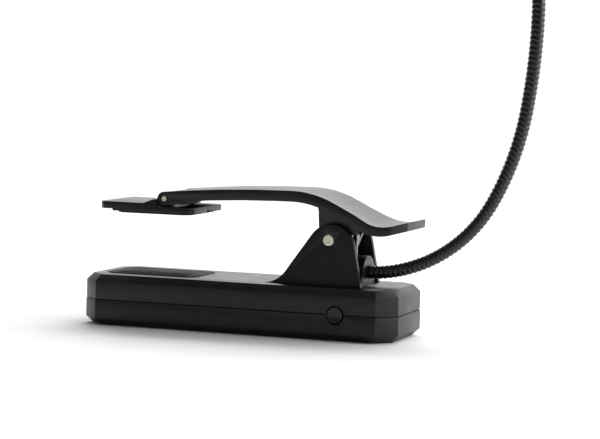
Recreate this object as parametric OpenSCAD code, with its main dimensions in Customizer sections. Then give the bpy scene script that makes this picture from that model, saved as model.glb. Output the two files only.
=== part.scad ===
// Clip-on reading lamp: a battery base with a spring clip, a bendable neck and a light head.
// Millimetres, +Z up. The origin is the middle of the lower grip pad's top face, which is the
// face that the clamped board rests on. +X runs along the base towards the neck, and the push
// button is on the -Y side.

/* [Base housing] */
// Length of the base housing
body_len = 150; // [145:1:180]
// Width of the base housing
body_w = 50; // [50:1:62]
// Height of the base housing
body_h = 23; // [22.5:0.5:28]
// Size of the corner facets, seen from above
corner = 8; // [5:0.5:9]
// Size of the chamfer along the top and bottom edges
edge = 3; // [1.5:0.5:4]
// Wall thickness of the two case shells
wall = 2; // [1.6:0.1:2.4]
// Height of the parting line above the underside
split_h = 11.5; // [10:0.5:12.5]
// How far the lower shell stands proud of the upper one at the parting line
split_proud = 0.2; // [0:0.1:0.4]
// Open groove at the parting line
split_gap = 0.35; // [0.2:0.05:0.5]

/* [Lower grip pad] */
// Length of the rubber pad on the base
grip_len = 44; // [30:1:50]
// Width of the rubber pad on the base
grip_w = 30; // [20:1:36]
// Thickness of the rubber pad
grip_t = 1.4; // [1:0.1:1.8]
// How far the rubber pad stands above the base
grip_proud = 0.6; // [0.3:0.1:0.8]
// Distance from the pad's middle to the free end of the base
grip_to_end = 30; // [28:1:40]

/* [Ears and main pin] */
// Width over the outside of both ears
ears_w = 29; // [27:0.1:35]
// Thickness of one ear
ear_t = 2.6; // [2:0.1:3.2]
// Radius of the rounded top of the ears
crown_r = 11; // [8.5:0.1:12]
// Height of the crown's centre above the base
crown_h = 16.5; // [15:0.5:20]
// Height of the main pin above the base
pin_h = 20.5; // [19:0.5:22]
// Distance from the main pin to the neck end of the base
pin_to_end = 34.2; // [32:0.1:40]
// Diameter of the main pin
pin_d = 4; // [3:0.1:4.4]
// Diameter of the main pin's heads
pin_head_d = 5.4; // [5:0.1:7]

/* [Clip lever] */
// Width of the lever strap
lever_w = 33; // [28:0.5:36]
// Width of the thumb tab
tab_w = 40; // [34:1:46]
// Thickness of the strap
strap_t = 4.9; // [3.8:0.1:5]
// Size of the facets on the thumb tab's corners
tab_corner = 6; // [2:0.5:7]
// Thickness of the two webs that carry the pin
web_t = 2.4; // [1.8:0.1:3]
// Radius of the hub that the spring is wound round
hub_r = 6.2; // [4:0.1:6.4]

/* [Pressure pad] */
// Length of the pressure pad
pad_len = 46; // [40:1:54]
// Width of the pressure pad
pad_w = 37; // [31:1:40]
// Thickness of the pad plate
pad_t = 2.8; // [2:0.1:3]
// Diameter of the pad's pin
pad_pin_d = 2.6; // [2:0.1:3]
// Thickness of the rubber sole
sole_t = 1.6; // [1.2:0.1:2]
// Depth of the sole's seat in the pad plate
sole_seat = 0.6; // [0.3:0.1:0.8]

/* [Spring] */
// Wire diameter of the torsion spring
wire_d = 1.2; // [1:0.1:1.6]
// Mean radius of the spring coils
coil_r = 7.6; // [7.5:0.1:7.8]

/* [Push button] */
// Diameter of the button cap
button_d = 7; // [5:0.2:8]
// Travel of the button
button_travel = 0.8; // [0.4:0.1:1]
// Distance from the button to the neck end of the base
button_to_end = 26.8; // [25:0.1:30]

/* [Batteries] */
// Diameter of one cell
cell_d = 14.2; // [10:0.1:14.5]
// Length of one cell with its button
cell_len = 50.5; // [44:0.5:52]

/* [Neck] */
// Outer diameter of the ribbed neck
neck_d = 6.1; // [5:0.1:7.4]
// Height of the neck's exit above the base
neck_h = 5.9; // [5.5:0.1:7]
// Width of the boss that holds the neck
boss_w = 19; // [16:0.5:21]
// Height of that boss
boss_h = 13.3; // [12:0.1:13.5]

/* [Head] */
// Length of the light head
head_len = 78; // [60:1:100]
// Width of the light head
head_w = 36; // [30:1:44]
// Thickness of the light head
head_t = 13; // [11:0.5:16]

/* [Fits] */
// Radial clearance of a pin that turns in its hole
run_fit = 0.05; // [0.03:0.01:0.1]
// Gap between pieces that move past each other
side_gap = 0.3; // [0.3:0.05:0.5]
// Gap round a piece that sits in a seat
seat_gap = 0.15; // [0.05:0.05:0.3]

/* [Hidden] */
$fn = 64;
eps = 0.01;

// The base
top_z = -grip_proud;
bottom_z = top_z - body_h;
split_z = bottom_z + split_h;
left_x = -grip_to_end;
right_x = left_x + body_len;
mid_x = (left_x + right_x) / 2;
lip_t = 0.9;
lip_h = 1.2;

// The main pin and the ears
pin_x = right_x - pin_to_end;
pin_z = top_z + pin_h;
ear_in = ears_w / 2 - ear_t;
crown_x = pin_x + 1.3;
crown_z = top_z + crown_h;
ear_back = 54.5;
ear_front = 101;
ear_flare = 13;
head_sink = 1;

// The spring: two coils with their feet in the boss and their free ends under the strap
leg_y = 3.5;
coil_pitch = wire_d + 0.1;
coil_turns = 2 + 340 / 360;
leg_end = 10.1;
leg_foot = 2;
web_out = ear_in - side_gap;
web_in = web_out - web_t;

// The lever: the pad pin stands over the lower grip pad, and the lever's top line starts above
// that pin and is a chain of [length, turn] stretches
pad_dx = 7.2;
pad_dz = 15;
pad_x = pad_dx;
pad_z = pin_z + pad_dz;
knuckle_r = pad_pin_d / 2 + 1.85;
cheek_t = 3;
cheek_len = 17;
strap_start = 6;
strap_moves = [[pin_x - pad_x - 17.1, -6], [20.6, -26], [17, 0], [13.4, 41], [5.6, 0]];
tab_thinning = 1.3;
flare_x = pin_x + 10;
flare_len = 15;

// The pressure pad
pad_left = pad_x - 30.8;
pad_right = pad_left + pad_len;
plate_top = pad_z - knuckle_r - 0.45;
plate_low = plate_top - pad_t;
sole_low = plate_low + sole_seat - sole_t;
lug_t = 3.5;
lug_out = lever_w / 2 - cheek_t - side_gap;
pad_corner = 2;
pad_step = 1.35;
nose_lift = 0.9;
sole_inset = 7;

// The button and its switch
button_x = right_x - button_to_end;
button_z = split_z;
hole_gap = 0.35;
hole_chamfer = 0.4;
face_y = -body_w / 2;
flange_t = 0.8;
flange_r = button_d / 2 + 1.2;
cap_in = face_y + wall + 0.3 + flange_t;
switch_size = 6;
switch_y = cap_in + 3.4;
switch_depth = 4;
plunger_r = 1.7;

// The cells and their contacts
cell_pitch = cell_d + 0.8;
cells = 3;
cell_x = left_x + 14.3;
cell_z = bottom_z + wall + 0.3 + cell_d / 2 + 1.8;
contact_gap = 4;
partition_t = 1.2;
plate_t = 0.4;
back_wall_x = cell_x - contact_gap - partition_t;
front_wall_x = cell_x + cell_len + plate_t + 0.1;

// The battery door
door_x0 = cell_x - 2;
door_x1 = front_wall_x + 8;
door_w = body_w - 2 * edge - 3;
door_t = 1;
door_rim = 1.2;
door_screw_x = front_wall_x + 4.5;

// The circuit board
board_t = 1.6;
board_x0 = front_wall_x + 19;
board_x1 = right_x - 15;
board_w = body_w - 2 * wall - 10;
board_z = button_z - switch_size / 2 - board_t;
post_r = 2.6;

// Case screws
screw_r = 1.25;
screw_head_r = 2.5;
screw_head_t = 1.8;
screw_len = 14;
sink_h = 3;
boss_r = 4.2;
post_top_r = 2.6;
case_screw_xy = [for (s = [-1, 1]) each [[right_x - 8, s * (body_w / 2 - 10)],
                                         [left_x + 5.8, s * (body_w / 2 - 14)]]];

// The neck: a chain of arcs of [length, turn], joined by balls in sockets
neck_r = neck_d / 2;
neck_boss_x = pin_x + 14.7;
boss_back = pin_x + 5.7;
neck_z = top_z + neck_h;
ferrule_r = neck_r + 0.35;
bore_r = 1.5;
neck_bends = [[24.5, 22.5], [45, 39.5], [42, 18.5], [42, 8.5], [44, 16], [46, 42], [46, 41]];
ball_r = neck_r - 0.55;
ball_fit = 0.06;
link_gap = 1.7;
socket_lip = 0.3;
collar_seat = 2;
ball_stem_r = 1.5;

// The head, in its own frame: +X away from the neck, +Z to the lit side
head_x0 = 5;
head_corner = 7;
head_edge = 2.4;
head_wall = 1.6;
bezel_t = 3;
window_rim = 3.6;
diffuser_t = 1.2;
led_board_t = 1;
led_count = 5;
head_screw_r = 0.9;

// ---- Shapes that several pieces share ----

// Corner facet left after an outline is moved in by d
function inset_corner(c, d) = c - d * (2 - sqrt(2));

// A rectangle with cut corners, centred
module octagon(l, w, c) {
    polygon([[-l / 2 + c, -w / 2], [l / 2 - c, -w / 2], [l / 2, -w / 2 + c], [l / 2, w / 2 - c],
             [l / 2 - c, w / 2], [-l / 2 + c, w / 2], [-l / 2, w / 2 - c], [-l / 2, -w / 2 + c]]);
}

// A block with that plan, standing on z = 0, with its upper edges chamfered by e
module chamfered_block(l, w, c, h, e) {
    hull() {
        linear_extrude(h - e) octagon(l, w, c);
        linear_extrude(h) octagon(l - 2 * e, w - 2 * e, inset_corner(c, e));
    }
}

// Half a case: a chamfered block with an even wall, open at z = 0
module half_case(l, w, c, h, e, t) {
    difference() {
        chamfered_block(l, w, c, h, e);
        translate([0, 0, -eps])
            chamfered_block(l - 2 * t, w - 2 * t, inset_corner(c, t), h - t + eps, e);
    }
}

// A round bar along +Y from y0 to y1
module bar_y(r, y0, y1) {
    translate([0, y1, 0]) rotate([90, 0, 0]) cylinder(r = r, h = y1 - y0);
}

// A round bar along +X from x0 to x1
module bar_x(r, x0, x1) {
    translate([x0, 0, 0]) rotate([0, 90, 0]) cylinder(r = r, h = x1 - x0);
}

// An XZ outline given thickness along Y, from y0 to y1
module slab_y(y0, y1) {
    translate([0, y1, 0]) rotate([90, 0, 0]) linear_extrude(y1 - y0) children();
}

// The same piece on both sides of the XZ plane
module both_sides() {
    children();
    mirror([0, 1, 0]) children();
}

// A wire of radius r swept along points, with a closed skin and s sides. ref is a direction that
// the wire never follows.
module wire(points, r, s = 8, ref = [0, 1, 0]) {
    n = len(points);
    function unit(v) = v / norm(v);
    function along(i) = unit(points[min(i + 1, n - 1)] - points[max(i - 1, 0)]);
    function side(i) = unit(cross(along(i), ref));
    function ring(i) =
        let (u = side(i), v = cross(along(i), u))
        [for (k = [0 : s - 1]) points[i] + r * (cos(360 * k / s) * u + sin(360 * k / s) * v)];
    skin = [for (i = [0 : n - 1]) each ring(i)];
    walls = [for (i = [0 : n - 2]) for (k = [0 : s - 1])
             [i * s + k, i * s + (k + 1) % s, (i + 1) * s + (k + 1) % s, (i + 1) * s + k]];
    near_cap = [for (k = [0 : s - 1]) s - 1 - k];
    far_cap = [for (k = [0 : s - 1]) (n - 1) * s + k];
    polyhedron(skin, concat([near_cap], walls, [far_cap]));
}

// A cross-head screw standing on its point along +Z: shank r, head hr by ht, length l under head
module screw(r, hr, ht, l) {
    difference() {
        union() {
            cylinder(r = r, h = l + eps);
            translate([0, 0, l]) cylinder(r = hr, h = ht);
        }
        for (turn = [0, 90])
            translate([0, 0, l + ht]) rotate([0, 0, turn])
                cube([hr * 1.1, hr * 0.24, ht], center = true);
    }
}

// ---- Base housing ----

module ear_outline() {
    // The straight flanks start just inside the crown, so that they cross it cleanly
    r = crown_r - 0.02;
    back_foot = [crown_x - r * sin(ear_back), crown_z + r * cos(ear_back)];
    back_toe = back_foot[0] - (back_foot[1] - top_z) / tan(ear_back);
    flare_run = ear_flare * tan(ear_back / 2);
    front_top = [crown_x + r * sin(ear_front), crown_z - r * cos(ear_front)];
    front_toe = front_top[0] - (front_top[1] - top_z) / tan(ear_front);
    translate([crown_x, crown_z]) circle(r = crown_r);
    polygon(concat(
        [back_foot],
        [for (a = [ear_back : -ear_back / 6 : -0.01])
            [back_toe - flare_run + ear_flare * sin(a), top_z + ear_flare * (1 - cos(a))]],
        [[back_toe - flare_run, top_z - wall / 2], [front_toe, top_z - wall / 2],
         [front_toe, top_z], front_top, [crown_x, crown_z]]));
}

module neck_boss() {
    arch_z = top_z + boss_h - boss_w / 2;
    translate([boss_back, 0, 0]) rotate([90, 0, 90]) linear_extrude(neck_boss_x - boss_back) {
        intersection() {
            translate([0, arch_z]) circle(d = boss_w);
            translate([-boss_w / 2, top_z - wall / 2]) square([boss_w, boss_h + wall]);
        }
        translate([-boss_w / 2, top_z - wall / 2]) square([boss_w, arch_z - top_z + wall / 2]);
    }
}

module button_hole() {
    translate([button_x, 0, button_z]) {
        bar_y(button_d / 2 + hole_gap, face_y - 1, face_y + wall + 1);
        translate([0, face_y - split_proud, 0]) rotate([-90, 0, 0])
            cylinder(r1 = button_d / 2 + hole_gap + hole_chamfer + split_proud,
                     r2 = button_d / 2 + hole_gap, h = hole_chamfer + split_proud);
    }
}

// Room inside the case for the button's flange
module flange_room() {
    translate([button_x, 0, button_z])
        bar_y(flange_r + hole_gap, face_y + wall, cap_in + button_travel + hole_gap);
}

module upper_case() {
    color([0.11, 0.11, 0.115])
    difference() {
        union() {
            translate([mid_x, 0, split_z + split_gap])
                half_case(body_len, body_w, corner, body_h - split_h - split_gap, edge, wall);
            both_sides() slab_y(ear_in, ears_w / 2) ear_outline();
            neck_boss();
            for (p = case_screw_xy)
                translate([p[0], p[1], split_z])
                    cylinder(r = post_top_r, h = top_z - split_z - wall / 2);
            for (s = [-1, 1])
                translate([cell_x + 3, s * cell_pitch / 2 - 0.6, cell_z + cell_d / 4])
                    cube([cell_len - 6, 1.2, top_z - wall / 2 - cell_z - cell_d / 4]);
        }
        translate([0, 0, top_z - (grip_t - grip_proud)])
            linear_extrude(grip_t) octagon(grip_len + 2 * seat_gap, grip_w + 2 * seat_gap, 4);
        translate([pin_x, 0, pin_z]) {
            bar_y(pin_d / 2 + run_fit, -ears_w, ears_w);
            both_sides() bar_y(pin_head_d / 2 + run_fit, ears_w / 2 - head_sink, ears_w);
        }
        translate([0, 0, neck_z]) bar_x(ferrule_r + run_fit, boss_back - 1, neck_boss_x + 1);
        translate([boss_back - 6, 0, top_z - wall - 1]) cylinder(r = 2, h = wall + 2);
        both_sides() translate([pin_x + coil_r, leg_y, top_z + boss_h - leg_foot - 1])
            cylinder(r = wire_d / 2 + seat_gap, h = boss_h);
        for (p = case_screw_xy)
            translate([p[0], p[1], split_z - eps]) cylinder(r = screw_r - 0.25, h = 7);
        button_hole();
        flange_room();
    }
}

module lower_case() {
    lip_out = wall - lip_t + seat_gap;
    color([0.11, 0.11, 0.115])
    difference() {
        union() {
            translate([mid_x, 0, split_z]) mirror([0, 0, 1])
                half_case(body_len + 2 * split_proud, body_w + 2 * split_proud,
                          corner + split_proud, split_h, edge, wall + split_proud);
            // The lip that enters the upper shell
            translate([mid_x, 0, split_z - 2]) difference() {
                linear_extrude(2 + lip_h)
                    octagon(body_len - 2 * wall - 2 * seat_gap, body_w - 2 * wall - 2 * seat_gap,
                            inset_corner(corner, wall + seat_gap));
                translate([0, 0, -1]) linear_extrude(4 + lip_h)
                    octagon(body_len - 2 * wall - 2 * lip_t, body_w - 2 * wall - 2 * lip_t,
                            inset_corner(corner, wall + lip_t));
            }
            for (p = case_screw_xy)
                translate([p[0], p[1], bottom_z]) cylinder(r = boss_r, h = split_h);
            // Walls at the two ends of the cells
            for (x = [back_wall_x, front_wall_x])
                translate([x, -body_w / 2 + wall, bottom_z + wall / 2])
                    cube([partition_t, body_w - 2 * wall, split_h - wall / 2]);
            // Posts under the circuit board
            for (x = [board_x0 + 4, board_x1 - 4])
                translate([x, 0, bottom_z + wall / 2])
                    cylinder(r = post_r, h = board_z - bottom_z - wall / 2);
            translate([door_screw_x, 0, bottom_z + wall / 2]) cylinder(r = post_r, h = 7);
        }
        for (p = case_screw_xy)
            translate([p[0], p[1], bottom_z - eps]) {
                cylinder(r = screw_r + 0.15, h = split_h + 1);
                cylinder(r = screw_head_r + 0.3, h = sink_h + screw_head_t + eps);
            }
        for (x = [board_x0 + 4, board_x1 - 4])
            translate([x, 0, board_z - 3.5]) cylinder(r = 0.75, h = 4);
        // The battery door's opening, its rim and its screw hole
        translate([door_x0 + door_rim, -door_w / 2 + door_rim, bottom_z - 1])
            cube([front_wall_x - door_x0 - 2 * door_rim, door_w - 2 * door_rim, wall + 2]);
        translate([door_x0, -door_w / 2, bottom_z - 1])
            cube([door_x1 - door_x0, door_w, door_t + 1]);
        translate([door_screw_x, 0, bottom_z]) cylinder(r = 0.75, h = 7);
        button_hole();
        flange_room();
    }
}

module lower_grip_pad() {
    color([0.07, 0.07, 0.07])
    translate([0, 0, -grip_t]) linear_extrude(grip_t) octagon(grip_len, grip_w, 4);
}

module battery_door() {
    gap = 0.2;
    color([0.11, 0.11, 0.115])
    difference() {
        union() {
            translate([door_x0 + gap, -door_w / 2 + gap, bottom_z])
                cube([door_x1 - door_x0 - 2 * gap, door_w - 2 * gap, door_t]);
            translate([door_x0 + door_rim + gap, -door_w / 2 + door_rim + gap, bottom_z])
                cube([front_wall_x - door_x0 - 2 * door_rim - 2 * gap,
                      door_w - 2 * door_rim - 2 * gap, wall]);
            // Two ribs that the cells lie on
            for (f = [0.25, 0.7])
                translate([cell_x + f * cell_len, -door_w / 2 + 3, bottom_z + wall / 2])
                    cube([1.6, door_w - 6, cell_z - cell_d / 2 - bottom_z - wall / 2 - 0.02]);
        }
        translate([door_screw_x, 0, bottom_z - eps]) cylinder(r = 1.15, h = door_t + 1);
        // Finger grooves
        for (i = [0 : 3])
            translate([door_x0 + 5 + 2.4 * i, -8, bottom_z - eps]) cube([1.2, 16, 0.5]);
    }
}

module battery_door_screw() {
    color([0.6, 0.6, 0.6])
    translate([door_screw_x, 0, bottom_z + 5.2]) mirror([0, 0, 1]) screw(0.75, 1.1, 0.9, 4.3);
}

module case_screws() {
    color([0.55, 0.55, 0.56])
    for (p = case_screw_xy)
        translate([p[0], p[1], bottom_z + sink_h + screw_head_t + screw_len - 5])
            mirror([0, 0, 1])
                screw(screw_r - 0.25, screw_head_r, screw_head_t, screw_len - 5);
}

// ---- Power and electronics ----

module battery_cells() {
    nub = 1.3;
    color([0.2, 0.35, 0.55])
    for (i = [0 : cells - 1])
        translate([0, (i - (cells - 1) / 2) * cell_pitch, cell_z]) {
            bar_x(cell_d / 2, cell_x, cell_x + cell_len - nub);
            bar_x(2.7, cell_x + cell_len - nub - 1, cell_x + cell_len);
        }
}

module cell_springs() {
    turns = 3;
    color([0.75, 0.76, 0.78])
    for (i = [0 : cells - 1])
        translate([cell_x - contact_gap + 0.5, (i - (cells - 1) / 2) * cell_pitch, cell_z])
            wire([for (a = [0 : 30 : 360 * turns])
                let (f = a / (360 * turns), r = 4.6 - 2 * f)
                [(contact_gap - 1) * f, r * cos(a), r * sin(a)]], 0.4, 6, [1, 0, 0]);
}

module cell_plates() {
    color([0.75, 0.76, 0.78])
    for (i = [0 : cells - 1])
        translate([cell_x + cell_len + 0.05, (i - (cells - 1) / 2) * cell_pitch - 4.5,
                   cell_z - 4.5])
            cube([plate_t, 9, 9]);
}

module battery_leads() {
    lead_r = 0.7;
    land_y = board_w / 2 - 5;
    color([0.6, 0.1, 0.1])
    for (s = [-1, 1])
        wire([[front_wall_x + partition_t + 0.9, s * (land_y + 4), cell_z],
              [front_wall_x + 5, s * (land_y + 4), cell_z - 1],
              [front_wall_x + 10, s * (land_y + 3), cell_z],
              [board_x0 - 3, s * (land_y + 0.5), board_z + 4],
              [board_x0 + 1, s * land_y, board_z + 4],
              [board_x0 + 3.5, s * land_y, board_z + board_t + 1.4]], lead_r, 6);
}

module circuit_board() {
    color([0.05, 0.3, 0.15])
    difference() {
        translate([board_x0, -board_w / 2, board_z])
            cube([board_x1 - board_x0, board_w, board_t]);
        for (x = [board_x0 + 4, board_x1 - 4])
            translate([x, 0, board_z - 1]) cylinder(r = 1.1, h = board_t + 2);
    }
}

module board_screws() {
    color([0.6, 0.6, 0.6])
    for (x = [board_x0 + 4, board_x1 - 4])
        translate([x, 0, board_z - 3]) screw(0.75, 1.7, 1.1, 3 + board_t + eps);
}

// The driver chip, its coil and its capacitor
module driver_parts() {
    z = board_z + board_t;
    color([0.15, 0.15, 0.16]) {
        translate([board_x0 + 12, 2, z]) cube([5, 4, 1.4]);
        translate([board_x0 + 10, -7, z]) cylinder(r = 3, h = 2.8);
        translate([board_x0 + 21, 9, z]) cylinder(r = 2.5, h = 5.2);
    }
}

module tact_switch() {
    color([0.2, 0.2, 0.21])
    difference() {
        translate([button_x - switch_size / 2, switch_y, button_z - switch_size / 2])
            cube([switch_size, switch_depth, switch_size]);
        translate([button_x, 0, button_z])
            bar_y(plunger_r + 0.15, switch_y - 1, switch_y + button_travel + 1.5);
    }
}

module button_plunger() {
    color([0.85, 0.85, 0.82])
    translate([button_x, 0, button_z])
        bar_y(plunger_r, switch_y - 1.4, switch_y + 1);
}

module button_cap() {
    stem_r = 1.4;
    color([0.1, 0.1, 0.105])
    translate([button_x, 0, button_z]) {
        difference() {
            bar_y(button_d / 2, face_y, cap_in);
            // A shallow dish for the fingertip
            translate([0, face_y - 18 + 0.35, 0]) sphere(r = 18, $fn = 96);
        }
        bar_y(flange_r, cap_in - flange_t, cap_in);
        bar_y(stem_r, cap_in - eps, switch_y - 1.4);
    }
}

// ---- Clip ----

module main_pin() {
    color([0.85, 0.84, 0.8])
    translate([pin_x, 0, pin_z])
    difference() {
        union() {
            bar_y(pin_d / 2, -ears_w / 2 + head_sink / 2, ears_w / 2 - head_sink / 2);
            both_sides() bar_y(pin_head_d / 2, ears_w / 2 - head_sink, ears_w / 2 - 0.1);
        }
        // The ring that the riveting tool leaves
        both_sides() difference() {
            bar_y(1.3, ears_w / 2 - 0.35, ears_w / 2);
            bar_y(0.7, ears_w / 2 - 1, ears_w / 2 + 1);
        }
    }
}

module torsion_spring() {
    foot_z = top_z + boss_h - leg_foot - 0.8;
    last = 360 * coil_turns;
    exit_y = leg_y + coil_pitch * coil_turns;
    exit = [coil_r * cos(last), exit_y, coil_r * sin(last)];
    color([0.75, 0.76, 0.78])
    both_sides() translate([pin_x, 0, pin_z])
        wire(concat(
            [[coil_r, leg_y, foot_z - pin_z], [coil_r, leg_y, -3]],
            [for (a = [0 : last / 54 : last + 0.01])
                [coil_r * cos(a), leg_y + coil_pitch * a / 360, coil_r * sin(a)]],
            [[leg_end, exit_y, exit[2] + (leg_end - exit[0]) * tan(last - 630)]]),
            wire_d / 2);
}

// The lever's top line, walked from above the pad pin. Each arc is cut into steps.
walk_steps = 8;
strap_steps = [for (m = strap_moves)
    each (m[1] == 0 ? [m] : [for (k = [1 : walk_steps]) m / walk_steps])];
function walk(i) = i == 0 ? [pad_x, pad_z + knuckle_r, strap_start] :
    let (p = walk(i - 1), m = strap_steps[i - 1], h = p[2] + m[1] / 2)
    [p[0] + m[0] * cos(h), p[1] + m[0] * sin(h), p[2] + m[1]];
strap_line = [for (i = [0 : len(strap_steps)]) walk(i)];
tab_end = strap_line[len(strap_line) - 1][0];

module strap_outline() {
    last = len(strap_line) - 1;
    // The tab thins towards its end
    under = [for (i = [last : -1 : 0])
        let (p = strap_line[i],
             t = strap_t - tab_thinning * max(0, i - last + walk_steps + 1) / (walk_steps + 1))
        [p[0] + t * sin(p[2]), p[1] - t * cos(p[2])]];
    polygon(concat([for (p = strap_line) [p[0], p[1]]], under));
}

// The lever seen from above: a straight strap that widens into the thumb tab
module lever_plan() {
    half = [for (f = [0 : 0.125 : 1])
        [flare_x + flare_len * f,
         lever_w / 2 + (tab_w - lever_w) / 2 * (1 - cos(180 * f)) / 2]];
    edge_line = concat([[pad_x - knuckle_r, lever_w / 2]], half,
                       [[tab_end - tab_corner, tab_w / 2], [tab_end, tab_w / 2 - tab_corner]]);
    polygon(concat(edge_line, [for (i = [len(edge_line) - 1 : -1 : 0])
        [edge_line[i][0], -edge_line[i][1]]]));
}

module web_outline() {
    translate([pin_x, pin_z]) {
        circle(r = 4.6);
        polygon([[-4.4, 0], [4.2, -1.9], [9.5, 2.2], [17, 5.6], [0, 16],
                 [-7.9, 17.2], [-6.4, 15.2], [-5.8, 12.6], [-5.5, 5.9]]);
    }
}

module cheek_outline() {
    translate([pad_x, pad_z]) {
        circle(r = knuckle_r);
        polygon([[0.3, -knuckle_r], [cheek_len, -1.1], [cheek_len, 2.5], [0, knuckle_r]]);
    }
}

module clip_lever() {
    notch = knuckle_r + 0.5;
    color([0.13, 0.13, 0.135])
    difference() {
        union() {
            intersection() {
                slab_y(-tab_w / 2, tab_w / 2) strap_outline();
                linear_extrude(3 * pin_h) lever_plan();
            }
            both_sides() slab_y(web_in, web_out) web_outline();
            both_sides() slab_y(lever_w / 2 - cheek_t, lever_w / 2) cheek_outline();
            translate([pin_x, 0, pin_z]) bar_y(hub_r, -web_in - 0.3, web_in + 0.3);
        }
        translate([pin_x, 0, pin_z]) bar_y(pin_d / 2 + run_fit, -ears_w, ears_w);
        translate([pad_x, 0, pad_z]) bar_y(pad_pin_d / 2, -lever_w, lever_w);
        // Room for the pad's lugs
        translate([pad_x - notch, -lever_w / 2 + cheek_t, pad_z - notch])
            cube([2 * notch, lever_w - 2 * cheek_t, 2 * notch]);
    }
}

module pad_pin() {
    color([0.85, 0.84, 0.8])
    translate([pad_x, 0, pad_z]) bar_y(pad_pin_d / 2, -lever_w / 2 + 0.1, lever_w / 2 - 0.1);
}

module pad_plate() {
    color([0.11, 0.11, 0.115])
    difference() {
        union() {
            translate([(pad_left + pad_right) / 2, 0, plate_low])
                linear_extrude(pad_t) octagon(pad_len, pad_w, pad_corner);
            // The thicker front, and the ridge before the knuckle, hollowed to let it turn
            difference() {
                intersection() {
                    slab_y(-pad_w / 2, pad_w / 2) translate([pad_x, plate_top])
                        polygon([[pad_left - pad_x, -0.5], [pad_left - pad_x, pad_step],
                                 [-9.2, pad_step], [-4.3, 3.3], [-2.6, 3.3], [-2.6, -0.5]]);
                    translate([(pad_left + pad_right) / 2, 0, plate_low])
                        linear_extrude(2 * pad_t + 3) octagon(pad_len, pad_w, pad_corner);
                }
                translate([pad_x, 0, pad_z]) bar_y(knuckle_r + 0.6, -pad_w, pad_w);
            }
            // Two lugs on the pin
            both_sides() slab_y(lug_out - lug_t, lug_out) translate([pad_x, pad_z]) {
                circle(r = knuckle_r - 0.25);
                translate([-knuckle_r + 0.25, plate_low - pad_z + 1])
                    square([2 * knuckle_r - 0.5, pad_z - plate_low - 1]);
            }
        }
        translate([pad_x, 0, pad_z]) bar_y(pad_pin_d / 2 + run_fit, -pad_w, pad_w);
        translate([(pad_left + sole_inset + pad_right - 2.5) / 2, 0, plate_low - eps])
            linear_extrude(sole_seat + eps)
                octagon(pad_len - sole_inset - 2.5 + 2 * seat_gap, pad_w - 3 + 2 * seat_gap, 3);
        translate([0, 0, plate_low]) bar_x(1.3, pad_right - 1.6, pad_right + 1);
        // The front stands clear of the board
        translate([pad_left - 1, -pad_w, plate_low - 1])
            cube([sole_inset - 0.7 + 1, 2 * pad_w, 1 + nose_lift]);
    }
}

module pad_sole() {
    color([0.06, 0.06, 0.06])
    translate([(pad_left + sole_inset + pad_right - 2.5) / 2, 0, sole_low])
        linear_extrude(sole_t) octagon(pad_len - sole_inset - 2.5, pad_w - 3, 3);
}

// ---- Neck ----

module neck_ferrule() {
    color([0.3, 0.3, 0.31])
    translate([0, 0, neck_z]) difference() {
        bar_x(ferrule_r, boss_back - 3, neck_boss_x - 0.2);
        bar_x(bore_r, boss_back - 4, neck_boss_x + 1);
    }
}

module neck_locknut() {
    across = 9;
    color([0.6, 0.6, 0.62])
    translate([0, 0, neck_z]) difference() {
        translate([boss_back - 2.6, 0, 0]) rotate([0, 90, 0])
            cylinder(d = across / cos(30), h = 2.5, $fn = 6);
        bar_x(ferrule_r + run_fit, boss_back - 4, boss_back + 1);
    }
}

// The two-core lead from the board up into the neck
module lamp_lead() {
    drop_x = boss_back - 6;
    color([0.15, 0.15, 0.15])
    wire([[neck_boss_x - 0.4, 0, neck_z], [boss_back - 1.5, 0, neck_z],
          [boss_back - 4.2, 0, neck_z - 0.6], [drop_x + 0.4, 0, neck_z - 2.6],
          [drop_x, 0, neck_z - 5.4], [drop_x, 0, top_z - 6],
          [drop_x + 1, 0, board_z + board_t + 1.6]], 1.1);
}

function heading(i) = i == 0 ? 0 : heading(i - 1) + neck_bends[i - 1][1];
function arc_radius(i) = neck_bends[i][0] * 180 / (PI * neck_bends[i][1]);
function link_start(i) = i == 0 ? [neck_boss_x, 0, neck_z] :
    let (h0 = heading(i - 1), h1 = heading(i))
    link_start(i - 1) + arc_radius(i - 1) * [sin(h1) - sin(h0), 0, cos(h0) - cos(h1)];

// A neck link: an arc with a socket at its start and a ball on a stem at its end
module neck_link(i, last) {
    h0 = heading(i);
    h1 = heading(i + 1);
    r = arc_radius(i);
    socket = i > 0;
    cut0 = (socket ? socket_lip : seat_gap) / r * 180 / PI;
    cut1 = (last ? 0 : link_gap) / r * 180 / PI;
    color([0.08, 0.08, 0.085])
    difference() {
        union() {
            translate(link_start(i) + r * [-sin(h0), 0, cos(h0)])
                rotate([90, 0, 0]) rotate([0, 0, h0 + cut0 - 90])
                    rotate_extrude(angle = h1 - h0 - cut0 - cut1, $fn = 96) translate([r, 0])
                        circle(r = neck_r, $fn = 32);
            translate(link_start(i + 1)) rotate([0, -h1, 0]) {
                if (last) bar_x(neck_r - 0.3, -1, collar_seat);
                if (!last) {
                    bar_x(ball_stem_r, -link_gap - 2, 0);
                    sphere(r = ball_r);
                }
            }
        }
        if (socket) translate(link_start(i)) sphere(r = ball_r + ball_fit);
    }
}

module neck_root() { neck_link(0, false); }
module neck_link_1() { neck_link(1, false); }
module neck_link_2() { neck_link(2, false); }
module neck_link_3() { neck_link(3, false); }
module neck_link_4() { neck_link(4, false); }
module neck_link_5() { neck_link(5, false); }
module neck_link_6() { neck_link(6, true); }

// ---- Head ----

module at_head() {
    translate(link_start(len(neck_bends))) rotate([0, -heading(len(neck_bends)), 0])
        translate([collar_seat, 0, 0]) children();
}

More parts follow.
